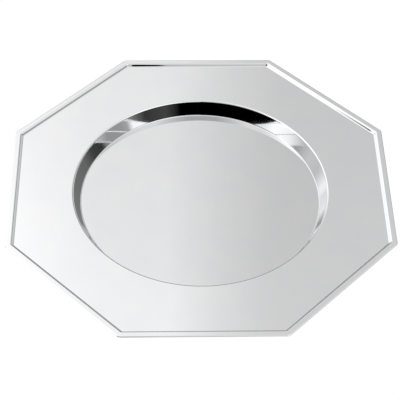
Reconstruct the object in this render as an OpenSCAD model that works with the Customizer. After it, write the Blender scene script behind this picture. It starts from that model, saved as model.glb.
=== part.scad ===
// Octagonal presentation tray: one mirror-polished sheet, pressed to shape and hemmed at the edge.
// The well's floor stands on Z = 0 and the tray is centred on the origin.

/* [Outline] */
// Width of the tray across its flat sides
across_flats = 300; // [260:1:450]
// Corner radius of the outline
outline_corner_r = 4.5; // [1:0.5:20]
// Corner radius at the foot of the edge step, where the rim's flat ends
foot_corner_r = 1; // [0.5:0.5:12]

/* [Sheet] */
// Thickness of the metal sheet
sheet_t = 0.8; // [0.5:0.1:1]

/* [Edge] */
// Width of the raised lip, from the outline to where its step bends down
lip_w = 4.1; // [3:0.1:12]
// Height of the lip's top above the rim's top
lip_rise = 2.2; // [1.8:0.1:6]
// Steepest slope of the step between rim and lip
step_angle = 58; // [40:1:80]
// Inside radius of the two bends of that step
step_bend_r = 0.8; // [0.3:0.1:0.9]
// Space inside the folded hem, between the lip's underside and the turned-in sheet
hem_gap = 0.2; // [0.1:0.1:0.6]
// Distance from the hem's cut edge to the bend of the step
hem_clear = 0.8; // [0.3:0.1:1.2]

/* [Well] */
// Diameter of the well's mouth, where the rim's flat ends
well_mouth_d = 203; // [120:1:230]
// Depth of the well, from the rim's top to the floor's top
well_depth = 11.5; // [6:0.5:25]
// Slope of the well's wall
wall_angle = 65; // [45:1:85]
// Inside radius of the bend between rim and wall
shoulder_bend_r = 0.8; // [0.5:0.1:3]
// Inside radius of the bend between wall and floor
floor_bend_r = 1; // [0.5:0.1:3]

/* [Hidden] */

sides = 8;
side_turn = 360 / sides;
// Turn from one flat to the next round the well's bends, the edge's bends and the outline's corners
well_arc_step = 7.5;
edge_arc_step = 22.5;
corner_arc_step = 9;
well_fn = 240;
// How far the well's flat laps over the rim plate, so that the two join as one sheet
mouth_lap = 2;

// Run of the two opposite bends of a wall and the straight between them, where bend_sum is
// both inside radii and the sheet's thickness
function wall_run(rise, angle, bend_sum) =
    let (straight = (rise - bend_sum * (1 - cos(angle))) / sin(angle))
    bend_sum * sin(angle) + straight * cos(angle);

// Points along an arc
function arc(centre, radius, from, to, step) =
    let (steps = ceil(abs(to - from) / step))
    [for (i = [0:steps]) let (a = from + (to - from) * i / steps) centre + radius * [cos(a), sin(a)]];

well_run = wall_run(well_depth, wall_angle, shoulder_bend_r + floor_bend_r + sheet_t);
step_run = wall_run(lip_rise, step_angle, 2 * step_bend_r + sheet_t);

// Width of the edge, and distance of the step's foot from the tray's middle
edge_w = step_run + lip_w;
foot_apothem = across_flats / 2 - edge_w;

// The edge starts inside the flat at the step's foot, and the rim plate laps over that start
edge_start = -foot_corner_r * 3 / 4;
plate_r = (foot_apothem - foot_corner_r / 4) / cos(side_turn / 2);

// Corner radius at a distance out from the foot: it grows evenly to the outline's
function corner_r(out) =
    out < 0 ? foot_corner_r + out : foot_corner_r + (outline_corner_r - foot_corner_r) * out / edge_w;

// Distance of that corner's centre from the tray's middle
function corner_centre(out) = (foot_apothem + out - corner_r(out)) / cos(side_turn / 2);

// Centres of the bends: in the well as radius and height, at the edge as distance out from the foot and height
floor_bend = [well_mouth_d / 2 - well_run, sheet_t + floor_bend_r];
shoulder_bend = [well_mouth_d / 2, well_depth - shoulder_bend_r];
foot_bend = [0, sheet_t + step_bend_r];
lip_bend = [step_run, lip_rise - step_bend_r];
fold_inside_r = hem_gap / 2;
fold_r = fold_inside_r + sheet_t;
fold_bend = [edge_w - fold_r, lip_rise - fold_inside_r];
hem_end = lip_bend[0] + hem_clear;

// The well in section: out along its top, then back along its underside
well_section = concat(
    [[0, sheet_t]],
    arc(floor_bend, floor_bend_r, -90, wall_angle - 90, well_arc_step),
    arc(shoulder_bend, shoulder_bend_r + sheet_t, wall_angle + 90, 90, well_arc_step),
    [[well_mouth_d / 2 + mouth_lap, well_depth + sheet_t], [well_mouth_d / 2 + mouth_lap, well_depth]],
    arc(shoulder_bend, shoulder_bend_r, 90, wall_angle + 90, well_arc_step),
    arc(floor_bend, floor_bend_r + sheet_t, wall_angle - 90, -90, well_arc_step),
    [[0, 0]]
);

// The edge in section: out over step and lip, round the fold and in under the lip, then back inside the hem
edge_section = concat(
    [[edge_start, sheet_t]],
    arc(foot_bend, step_bend_r, -90, step_angle - 90, edge_arc_step),
    arc(lip_bend, step_bend_r + sheet_t, step_angle + 90, 90, edge_arc_step),
    arc(fold_bend, fold_r, 90, -90, edge_arc_step),
    [[hem_end, fold_bend[1] - fold_r], [hem_end, fold_bend[1] - fold_inside_r]],
    arc(fold_bend, fold_inside_r, -90, 90, edge_arc_step),
    arc(lip_bend, step_bend_r, 90, step_angle + 90, edge_arc_step),
    arc(foot_bend, step_bend_r + sheet_t, step_angle - 90, -90, edge_arc_step),
    [[edge_start, 0]]
);

// The flat rim between the well's mouth and the foot of the step
module rim_plate() {
    linear_extrude(sheet_t)
        difference() {
            rotate(side_turn / 2) circle(r = plate_r, $fn = sides);
            circle(d = well_mouth_d, $fn = well_fn);
        }
}

// The edge: its section carried round the eight corners and closed on itself
module edge() {
    steps = side_turn / corner_arc_step;
    stations = [
        for (corner = [0:sides - 1])
            for (i = [0:steps])
                [(corner + 0.5) * side_turn, corner * side_turn + i * corner_arc_step]
    ];
    count = len(edge_section);
    polyhedron(
        points = [
            for (s = stations)
                for (p = edge_section)
                    let (centre = corner_centre(p[0]), r = corner_r(p[0]))
                    [centre * cos(s[0]) + r * cos(s[1]), centre * sin(s[0]) + r * sin(s[1]), p[1]]
        ],
        faces = [
            for (i = [0:len(stations) - 1])
                let (here = i * count, next = (i + 1) % len(stations) * count)
                for (k = [0:count - 1])
                    let (after = (k + 1) % count)
                    [here + k, next + k, next + after, here + after]
        ]
    );
}

module tray() {
    color("silver") {
        rotate_extrude($fn = well_fn) polygon(well_section);
        translate([0, 0, well_depth]) {
            rim_plate();
            edge();
        }
    }
}

tray();
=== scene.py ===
"""Octagonal presentation tray in mirror-polished stainless steel, on a white lightbox."""
import math

import bmesh
import bpy
from mathutils import Matrix, Vector


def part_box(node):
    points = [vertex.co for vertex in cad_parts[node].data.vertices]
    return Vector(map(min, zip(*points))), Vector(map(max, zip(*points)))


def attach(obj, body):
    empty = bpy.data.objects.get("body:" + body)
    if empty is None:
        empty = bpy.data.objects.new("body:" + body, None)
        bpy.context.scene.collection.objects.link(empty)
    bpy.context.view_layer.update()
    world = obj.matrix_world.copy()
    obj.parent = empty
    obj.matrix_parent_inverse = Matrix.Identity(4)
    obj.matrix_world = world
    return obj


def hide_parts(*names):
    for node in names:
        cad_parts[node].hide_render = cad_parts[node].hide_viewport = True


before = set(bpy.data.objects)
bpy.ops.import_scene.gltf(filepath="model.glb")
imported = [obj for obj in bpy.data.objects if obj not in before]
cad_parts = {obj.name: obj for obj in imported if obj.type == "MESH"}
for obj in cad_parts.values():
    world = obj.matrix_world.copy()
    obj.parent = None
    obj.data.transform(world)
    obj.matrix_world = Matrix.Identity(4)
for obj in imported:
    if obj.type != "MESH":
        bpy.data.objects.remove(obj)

MM = 0.001
UP = Vector((0, 0, 1))
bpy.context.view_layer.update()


# ---------------------------------------------------------------- sizes of the pressing, in metres

low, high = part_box("tray")
across_flats = high.x - low.x
lip_top = high.z
sheet = 0.8 * MM

well_depth = 11.5 * MM
mouth_r = 101.5 * MM
wall_angle = math.radians(65)
floor_bend_r = 1 * MM        # inside radius
shoulder_bend_r = 0.8 * MM   # inside radius

foot_corner_r = 1 * MM
outline_corner_r = 4.5 * MM
step_angle = math.radians(58)
step_bend_r = 0.8 * MM       # inside radius of both bends
lip_w = 4.1 * MM
hem_gap = 0.2 * MM
hem_clear = 0.8 * MM

rim_top = well_depth + sheet
lip_rise = lip_top - rim_top

# a narrow strip kept flat beside each bend, so that the flats reflect as true mirrors
hold = 0.15 * MM

sides = 8
side_turn = math.tau / sides

# facets along a bend, along the shoulder's bend and the hem's fold, round a corner and along a side
bend_steps = 8
fine_bend_steps = 16
corner_steps = 6
side_steps = 24
well_steps = sides * (corner_steps + side_steps)

weld = 0.002 * MM            # points nearer than this are one point
level_within = 0.01 * MM     # points this near a height lie at it
crease = math.radians(40)    # a sharper edge than this shows as a line


# ---------------------------------------------------------------- the section of the sheet's face

class Section:
    """Draws the upper face of the sheet in section, outwards from the middle, in straights and bends."""

    def __init__(self, start):
        self.bm = bmesh.new()
        self.tip = self.bm.verts.new(start)
        self.heading = 0.0

    def straight(self, length, held=True):
        """Draws a straight run, with a narrow strip at each end that keeps it flat."""
        for part in ((hold, length - 2 * hold, hold) if held else (length,)):
            made = bmesh.ops.extrude_vert_indiv(self.bm, verts=[self.tip])
            self.tip = made["verts"][0]
            along = Vector((math.cos(self.heading), 0, math.sin(self.heading)))
            bmesh.ops.translate(self.bm, verts=[self.tip], vec=along * part)

    def bend(self, radius, turn, steps):
        """Draws a bend of this radius on the drawn face; a positive turn goes up."""
        side = math.copysign(radius, turn)
        across = Vector((-math.sin(self.heading), 0, math.cos(self.heading)))
        made = bmesh.ops.spin(
            self.bm, geom=[self.tip], cent=self.tip.co + across * side, axis=(0, -1, 0),
            angle=turn, steps=steps, use_merge=False, use_normal_flip=False, use_duplicate=False)
        self.tip = made["geom_last"][0]
        self.heading += turn


def straight_of(rise, angle, bend_sum):
    """Length of the straight between two opposite bends, whose radii and sheet add up to bend_sum."""
    return (rise - bend_sum * (1 - math.cos(angle))) / math.sin(angle)


def merged(bm):
    """Joins the points that lie on each other."""
    bmesh.ops.remove_doubles(bm, verts=bm.verts, dist=weld)
    return bm


# ---------------------------------------------------------------- the tray

def well():
    """The drawn well: flat floor, steep wall and rounded shoulder, spun round the tray's axis."""
    bend_sum = floor_bend_r + shoulder_bend_r + sheet
    wall = straight_of(well_depth, wall_angle, bend_sum)
    run = bend_sum * math.sin(wall_angle) + wall * math.cos(wall_angle)
    section = Section((0, 0, sheet))
    section.straight(mouth_r - run - hold, held=False)
    section.straight(hold, held=False)
    section.bend(floor_bend_r, wall_angle, bend_steps)
    section.straight(wall)
    section.bend(shoulder_bend_r + sheet, -wall_angle, fine_bend_steps)
    section.straight(hold, held=False)
    bmesh.ops.spin(
        section.bm, geom=section.bm.verts[:] + section.bm.edges[:], cent=(0, 0, 0), axis=UP,
        angle=math.tau, steps=well_steps, use_merge=True, use_normal_flip=False,
        use_duplicate=False)
    return merged(section.bm)


def edge():
    """Step, raised lip and folded hem: one corner is spun, one side bridged on, then both repeated."""
    bend_sum = 2 * step_bend_r + sheet
    step = straight_of(lip_rise, step_angle, bend_sum)
    edge_w = bend_sum * math.sin(step_angle) + step * math.cos(step_angle) + lip_w
    fold_r = hem_gap / 2 + sheet
    out = across_flats / 2 - edge_w - foot_corner_r
    centre = Vector((out, out * math.tan(side_turn / 2), 0))

    section = Section(centre + Vector((foot_corner_r - hold, 0, rim_top)))
    section.straight(hold, held=False)
    section.bend(step_bend_r, step_angle, bend_steps)
    section.straight(step)
    section.bend(step_bend_r + sheet, -step_angle, bend_steps)
    section.straight(lip_w - fold_r)
    section.bend(fold_r, -math.pi, fine_bend_steps)
    section.straight(lip_w - fold_r - hem_clear)

    bm = section.bm
    first = bm.verts[:] + bm.edges[:]
    last = bmesh.ops.spin(
        bm, geom=first, cent=centre, axis=UP, angle=side_turn, steps=corner_steps,
        use_merge=False, use_normal_flip=False, use_duplicate=False)["geom_last"]

    # spun like this, the corner's radius grows by the edge's whole width; moving the points outwards
    # along the corner's middle line brings it down to the outline's own radius
    growth = (outline_corner_r - foot_corner_r) / edge_w
    outwards = centre.normalized()
    for v in bm.verts:
        spoke = Vector((v.co.x - centre.x, v.co.y - centre.y, 0))
        spare = max(0, spoke.length - foot_corner_r) * (1 - growth)
        v.co += outwards * spare / math.cos(side_turn / 2) - spoke.normalized() * spare

    ahead = bmesh.ops.duplicate(bm, geom=first)["geom"]
    turned = set(g for g in ahead if isinstance(g, bmesh.types.BMVert))
    bmesh.ops.rotate(bm, verts=list(turned), cent=(0, 0, 0), matrix=Matrix.Rotation(side_turn, 3, UP))
    bmesh.ops.bridge_loops(
        bm, edges=[g for g in last + ahead if isinstance(g, bmesh.types.BMEdge)])
    lengths = [
        e for g in last if isinstance(g, bmesh.types.BMVert)
        for e in g.link_edges if e.other_vert(g) in turned]
    bmesh.ops.subdivide_edges(bm, edges=lengths, cuts=side_steps - 1, use_grid_fill=True)
    bmesh.ops.spin(
        bm, geom=bm.verts[:] + bm.edges[:] + bm.faces[:], cent=(0, 0, 0), axis=UP,
        angle=math.tau - side_turn, steps=sides - 1, use_merge=False, use_normal_flip=False,
        use_duplicate=True)
    return merged(bm)


def tray():
    """Well and edge joined by the flat rim, then given the sheet's thickness."""
    bm = well()
    edge_mesh = bpy.data.meshes.new("edge")
    ring = edge()
    ring.to_mesh(edge_mesh)
    ring.free()
    bm.from_mesh(edge_mesh)
    bpy.data.meshes.remove(edge_mesh)

    open_at_rim = [
        e for e in bm.edges
        if e.is_boundary and all(abs(v.co.z - rim_top) < level_within for v in e.verts)]
    bmesh.ops.bridge_loops(bm, edges=open_at_rim)
    merged(bm)
    bmesh.ops.recalc_face_normals(bm, faces=bm.faces)
    face = bm.faces[:]
    if sum(f.normal.z * f.calc_area() for f in face) < 0:
        bmesh.ops.reverse_faces(bm, faces=face)
    for f in face:
        f.smooth = True
    back = bmesh.ops.solidify(bm, geom=face, thickness=sheet)
    for f in back["geom"]:
        if isinstance(f, bmesh.types.BMFace):
            f.smooth = True
            f.material_index = 1
    for e in bm.edges:
        e.smooth = e.calc_face_angle(0) < crease
    return bm


# ---------------------------------------------------------------- materials

def colour(code):
    """An sRGB hex colour as linear RGBA."""
    parts = [int(code[i:i + 2], 16) / 255 for i in (1, 3, 5)]
    return [p / 12.92 if p <= 0.04045 else ((p + 0.055) / 1.055) ** 2.4 for p in parts] + [1]


def add(tree, kind, inputs=None, **settings):
    """Adds a node with its settings, and sets or links its inputs."""
    made = tree.nodes.new(kind)
    for name, value in settings.items():
        setattr(made, name, value)
    for socket, value in (inputs or {}).items():
        if isinstance(value, bpy.types.NodeSocket):
            tree.links.new(value, made.inputs[socket])
        else:
            made.inputs[socket].default_value = value
    return made


def started(name):
    """A new material, with its node tree and its shader."""
    material = bpy.data.materials.new(name)
    material.use_nodes = True
    return material, material.node_tree, material.node_tree.nodes["Principled BSDF"]


def streaks(tree, place, length, width, turn=0.0, detail=2):
    """Fine parallel marks of this length and width, along X before they are turned."""
    laid = add(tree, "ShaderNodeMapping", {"Vector": place, "Rotation": (0, 0, turn)})
    drawn = add(tree, "ShaderNodeMapping", {
        "Vector": laid.outputs[0], "Scale": (1 / length, 1 / width, 1 / width)})
    return add(tree, "ShaderNodeTexNoise", {
        "Vector": drawn.outputs[0], "Scale": 1, "Detail": detail, "Roughness": 0.5}).outputs["Fac"]


# most of a soft noise lies between these values, so it is stretched from them
noise_range = {"From Min": 0.35, "From Max": 0.65}


def polished_stainless():
    """Stainless steel sheet, pressed and then buffed to a mirror.

    The eye gets near-perfect reflections, a trace of haze in the direction of the buffing, and
    the slight waviness that the press leaves in thin sheet.
    """
    material, tree, shader = started("stainless_steel_mirror_buffed")
    shader.inputs["Metallic"].default_value = 1
    place = add(tree, "ShaderNodeTexCoord").outputs["Object"]
    height = add(tree, "ShaderNodeSeparateXYZ", {0: place}).outputs["Z"]
    wipe_across = 28 * MM
    wave_across = 45 * MM
    wave_rise = 0.02 * MM
    mark_depth = 0.0001 * MM
    crest_h = 0.25 * MM
    shaded_floor_h = 1 * MM

    # buffing marks are a few hundredths of a millimetre wide; drawn far coarser, so that they show
    buffing = streaks(tree, place, length=35 * MM, width=0.5 * MM, turn=math.radians(12))
    wiping = add(tree, "ShaderNodeTexNoise", {
        "Vector": place, "Scale": 1 / wipe_across, "Detail": 3, "Roughness": 0.6}).outputs["Fac"]
    buffing_haze = add(tree, "ShaderNodeMapRange", {
        "Value": buffing, **noise_range, "To Min": 0.0, "To Max": 0.012}).outputs[0]
    wiping_haze = add(tree, "ShaderNodeMapRange", {
        "Value": wiping, **noise_range, "To Min": 0.012, "To Max": 0.03}).outputs[0]
    haze = add(
        tree, "ShaderNodeMath", {0: buffing_haze, 1: wiping_haze}, operation="ADD").outputs[0]
    # the lip's crest is the part that touches when trays are stacked
    rub = add(tree, "ShaderNodeMapRange", {
        "Value": height, "From Min": lip_top - crest_h, "From Max": lip_top,
        "To Min": 0.0, "To Max": 0.035}).outputs[0]
    roughness = add(tree, "ShaderNodeMath", {0: haze, 1: rub}, operation="ADD").outputs[0]
    tree.links.new(roughness, shader.inputs["Roughness"])

    wiped = add(tree, "ShaderNodeMapRange", {"Value": wiping, **noise_range}).outputs[0]
    tone = add(tree, "ShaderNodeMix", {
        0: wiped, 6: colour("#EDEEEF"), 7: colour("#F0F0F1")}, data_type="RGBA").outputs[2]
    # painted shade: the well's floor is coloured darker than the rim and wall, for the shade that the
    # walls cast into the recess
    floor_shade = add(tree, "ShaderNodeMapRange", {
        "Value": height, "From Min": sheet, "From Max": sheet + shaded_floor_h,
        "To Min": 0.92, "To Max": 1.0}).outputs[0]
    # the tone is multiplied by the painted shade, so the floor's colour is darker
    tone = add(tree, "ShaderNodeVectorMath", {0: tone, 1: floor_shade}, operation="MULTIPLY").outputs[0]
    tree.links.new(tone, shader.inputs["Base Color"])

    waves = add(tree, "ShaderNodeTexNoise", {
        "Vector": place, "Scale": 1 / wave_across, "Detail": 0}).outputs["Fac"]
    sway = add(tree, "ShaderNodeBump", {"Height": waves, "Strength": 1, "Distance": wave_rise})
    marks = add(tree, "ShaderNodeBump", {
        "Height": buffing, "Strength": 1, "Distance": mark_depth, "Normal": sway.outputs[0]})
    tree.links.new(marks.outputs[0], shader.inputs["Normal"])
    return material


def satin_stainless():
    """The same sheet's back, left with the satin finish it had from the mill.

    The eye gets a soft grey sheen with a straight grain, and brighter rubbed lines on the base.
    """
    material, tree, shader = started("stainless_steel_satin_rolled")
    shader.inputs["Metallic"].default_value = 1
    place = add(tree, "ShaderNodeTexCoord").outputs["Object"]
    height = add(tree, "ShaderNodeSeparateXYZ", {0: place}).outputs["Z"]
    grain_depth = 0.002 * MM
    base_h = 0.3 * MM

    # rolling grain is about 0.05 mm wide; drawn coarser, so that it shows
    grain = streaks(tree, place, length=30 * MM, width=0.35 * MM, detail=4)
    # the base slides on tables, which leaves shorter and wider scuffs across the grain
    scuffs = streaks(
        tree, place, length=22 * MM, width=0.8 * MM, turn=math.radians(63), detail=3)
    # only the strongest of the scuff noise shows, and only on the base
    scuffed = add(tree, "ShaderNodeMapRange", {
        "Value": scuffs, "From Min": 0.55, "From Max": 0.7, "To Min": 0.0, "To Max": 0.14,
    }).outputs[0]
    on_base = add(tree, "ShaderNodeMapRange", {
        "Value": height, "From Min": 0.0, "From Max": base_h, "To Min": 1.0, "To Max": 0.0,
    }).outputs[0]
    worn = add(tree, "ShaderNodeMath", {0: scuffed, 1: on_base}, operation="MULTIPLY").outputs[0]
    rolled = add(tree, "ShaderNodeMapRange", {
        "Value": grain, **noise_range, "To Min": 0.22, "To Max": 0.36}).outputs[0]
    roughness = add(tree, "ShaderNodeMath", {0: rolled, 1: worn}, operation="SUBTRACT").outputs[0]
    tree.links.new(roughness, shader.inputs["Roughness"])

    along_grain = add(tree, "ShaderNodeMapRange", {"Value": grain, **noise_range}).outputs[0]
    tone = add(tree, "ShaderNodeMix", {
        0: along_grain, 6: colour("#C9C9C7"), 7: colour("#DBDBD9")}, data_type="RGBA").outputs[2]
    tree.links.new(tone, shader.inputs["Base Color"])
    lines = add(tree, "ShaderNodeBump", {"Height": grain, "Strength": 1, "Distance": grain_depth})
    tree.links.new(lines.outputs[0], shader.inputs["Normal"])
    return material


def lit_acrylic(glow):
    """Opal acrylic sheet lit from below: the eye gets an even white with no shadow or shine."""
    material, _, shader = started("opal_acrylic_lit_from_below")
    shader.inputs["Base Color"].default_value = colour("#000000")
    shader.inputs["Roughness"].default_value = 1
    shader.inputs["Specular IOR Level"].default_value = 0
    shader.inputs["Emission Color"].default_value = colour("#FFFFFF")
    shader.inputs["Emission Strength"].default_value = glow
    return material


# ---------------------------------------------------------------- the tray and the floor, put in place

def placed(name, bm, *materials):
    """Puts this mesh in the scene under this name, with its materials."""
    mesh = bpy.data.meshes.new(name)
    bm.to_mesh(mesh)
    bm.free()
    for material in materials:
        mesh.materials.append(material)
    made = bpy.data.objects.new(name, mesh)
    bpy.context.scene.collection.objects.link(made)
    return made


tray_sheet = placed("tray_sheet", tray(), polished_stainless(), satin_stainless())
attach(tray_sheet, "root")
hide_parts("tray")

floor_half = 6         # metres from its middle to its sides
floor_gap = 0.2 * MM   # below the tray's base, so that the two faces don't share a plane
floor_glow = 1.03      # a little over full white, so that it shows as plain white

bm = bmesh.new()
bmesh.ops.create_grid(bm, x_segments=1, y_segments=1, size=floor_half)
bmesh.ops.translate(bm, verts=bm.verts, vec=(0, 0, -floor_gap))
floor = placed("floor", bm, lit_acrylic(floor_glow))


# ---------------------------------------------------------------- light: a tent, open on the camera's side

world = bpy.data.worlds.new("tent")
bpy.context.scene.world = world
world.use_nodes = True
tree = world.node_tree
tree.nodes.clear()

direction = add(tree, "ShaderNodeTexCoord").outputs["Generated"]
axes = add(tree, "ShaderNodeSeparateXYZ", {0: direction})
bearing = add(tree, "ShaderNodeMath", {
    0: axes.outputs["Y"], 1: axes.outputs["X"]}, operation="ARCTAN2").outputs[0]
turn_share = add(tree, "ShaderNodeMapRange", {
    "Value": bearing, "From Min": -math.pi, "From Max": math.pi}).outputs[0]
elevation = add(tree, "ShaderNodeMath", {0: axes.outputs["Z"]}, operation="ARCSINE").outputs[0]
height_share = add(tree, "ShaderNodeMath", {
    0: elevation, 1: 2 / math.pi}, operation="MULTIPLY").outputs[0]

# a ramp holds nothing above 1, so the cloth's brightness is given as this share of the real one
given_share = 0.5


def up(degrees):
    """A height in degrees as a share of the way from level to straight up."""
    return degrees / 90


def round_tent(stops):
    """A value by bearing in degrees: -180 left, -90 the camera's side, 0 right, 90 behind."""
    made = add(tree, "ShaderNodeValToRGB", {"Fac": turn_share})
    elements = made.color_ramp.elements
    elements.remove(elements[-1])
    for i, (degrees, value) in enumerate(stops):
        place = (degrees + 180) / 360
        stop = elements[0] if i == 0 else elements.new(place)
        stop.position = place
        stop.color = (value, value, value, 1)
    return made.outputs["Color"]


def seam(stops):
    """Where a seam runs round the tent: its height in degrees, by bearing in degrees."""
    return round_tent([(degrees, up(height)) for degrees, height in stops])


def above(edge, fade):
    """Rises from 0 to 1 across a seam, from this many degrees below it to as many above."""
    return add(tree, "ShaderNodeMapRange", {
        "Value": height_share,
        "From Min": add(tree, "ShaderNodeMath", {
            0: edge, 1: up(fade)}, operation="SUBTRACT").outputs[0],
        "From Max": add(tree, "ShaderNodeMath", {0: edge, 1: up(fade)}, operation="ADD").outputs[0],
    }, interpolation_type="SMOOTHSTEP").outputs[0]


# brightness of the cloth, from the ground up: the foot, a darker band, and the cloth above it
foot_cloth = round_tent([
    (-180, 0.22), (-176, 0.22), (-171, 0.64), (-154.5, 0.64), (-153, 0.0), (-74, 0.0), (-62, 0.03),
    (-45, 0.02), (-38, 0.06), (-30, 0.13), (-20, 0.19), (-8, 0.19), (-1, 0.02), (10, 0.03),
    (22, 0.22), (43, 0.35), (60, 0.30), (73, 0.20), (80, 0.14), (180, 0.50)])
band_cloth = round_tent([
    (-180, 0.22), (-176, 0.22), (-171, 0.64), (-161, 0.64), (-160, 0.0), (-74, 0.0), (-62, 0.03),
    (-45, 0.02), (-38, 0.06), (-30, 0.13), (-20, 0.19), (-8, 0.18), (-1, 0.02), (10, 0.03),
    (22, 0.085), (35, 0.10), (60, 0.12), (72, 0.14), (80, 0.14), (95, 0.14), (104, 0.19),
    (108, 0.26), (112, 0.40), (117, 0.52), (130, 0.51), (133, 0.62), (138, 0.60), (149, 0.38),
    (153, 0.34), (166, 0.36), (173, 0.30), (180, 0.22)])
high_cloth = round_tent([
    (-180, 0.62), (-158, 0.60), (-149, 0.24), (-138, 0.20), (-110, 0.20), (-98, 0.30),
    (-90, 0.36), (-75, 0.50), (-62, 0.62), (-35, 0.68), (-15, 0.50), (0, 0.42), (50, 0.36),
    (76, 0.335), (80, 0.33), (84, 0.335), (87, 0.39), (90, 0.465), (94, 0.475), (97, 0.51),
    (100, 0.56), (103, 0.60), (120, 0.64), (180, 0.62)])

# the seams below and above the darker band, and the one where the roof begins
band_foot = seam([
    (-180, 0), (-166, 0), (-164, 6.3), (-150, 6.3), (-148, 0), (0, 0), (15, 9), (29, 13.05),
    (50, 21.15), (71, 22.5), (78, 9), (84, 0), (180, 0)])
band_head = seam([
    (-180, 24.3), (-164, 37.8), (-155, 37.8), (-140, 24.3), (-100, 27), (-91.4, 39.6),
    (-90.5, 20.25), (-50, 21.15), (-30, 18.9), (-10, 17.1), (7, 17.1), (29, 25.2),
    (50, 33.75), (71, 40.5), (80, 37.8), (90, 34.2), (104, 37.8), (113, 37.8), (118, 22.5),
    (180, 24.3)])
roof_foot = seam([
    (-180, 63), (-158, 63), (-149, 54), (-75, 54), (-62, 63), (180, 63)])
wall_fade = 2.5
roof_fade = 7

# the high cloth brightens upwards, and the roof is darker overhead
rise = add(tree, "ShaderNodeMapRange", {
    "Value": height_share, "From Min": up(20), "From Max": up(56), "To Min": 0.76, "To Max": 1.12,
}).outputs[0]
roof_cloth = add(tree, "ShaderNodeMapRange", {
    "Value": height_share, "From Min": up(74), "From Max": up(84), "To Min": 0.48, "To Max": 0.27,
}).outputs[0]
high_cloth = add(
    tree, "ShaderNodeVectorMath", {0: high_cloth, 1: rise}, operation="MULTIPLY").outputs[0]

tent = foot_cloth
for edge_height, fade, cloth in (
        (band_foot, wall_fade, band_cloth),
        (band_head, wall_fade, high_cloth),
        (roof_foot, roof_fade, roof_cloth)):
    tent = add(tree, "ShaderNodeMix", {
        0: above(edge_height, fade), 6: tent, 7: cloth}, data_type="RGBA").outputs[2]
light = add(tree, "ShaderNodeBackground", {"Color": tent, "Strength": 1 / given_share})
add(tree, "ShaderNodeOutputWorld", {"Surface": light.outputs[0]})


# ---------------------------------------------------------------- camera

camera = bpy.data.objects.new("camera", bpy.data.cameras.new("camera"))
bpy.context.scene.collection.objects.link(camera)
bpy.context.scene.camera = camera
camera.data.sensor_width = 36   # millimetres
camera.data.lens = 133.3        # millimetres
camera.data.clip_start = 0.01
camera.data.clip_end = 50

target = (0, -0.5 * MM, lip_top)
stand_height = math.radians(46.83)          # above level, seen from the target
stand_turn = math.radians(-1.784)           # round the tray
level = math.radians(0.982)                 # the camera's own tilt to one side
stand = Vector((-0.28, -10.7, 1170)) * MM   # from the target, along the camera's right, up and back
aim = (
    Matrix.Rotation(stand_turn, 4, "Z")
    @ Matrix.Rotation(math.pi / 2 - stand_height, 4, "X")
    @ Matrix.Rotation(level, 4, "Z"))
camera.matrix_world = Matrix.Translation(target) @ aim @ Matrix.Translation(stand)

bpy.context.scene.view_settings.view_transform = "Standard"
bpy.context.scene.view_settings.look = "None"
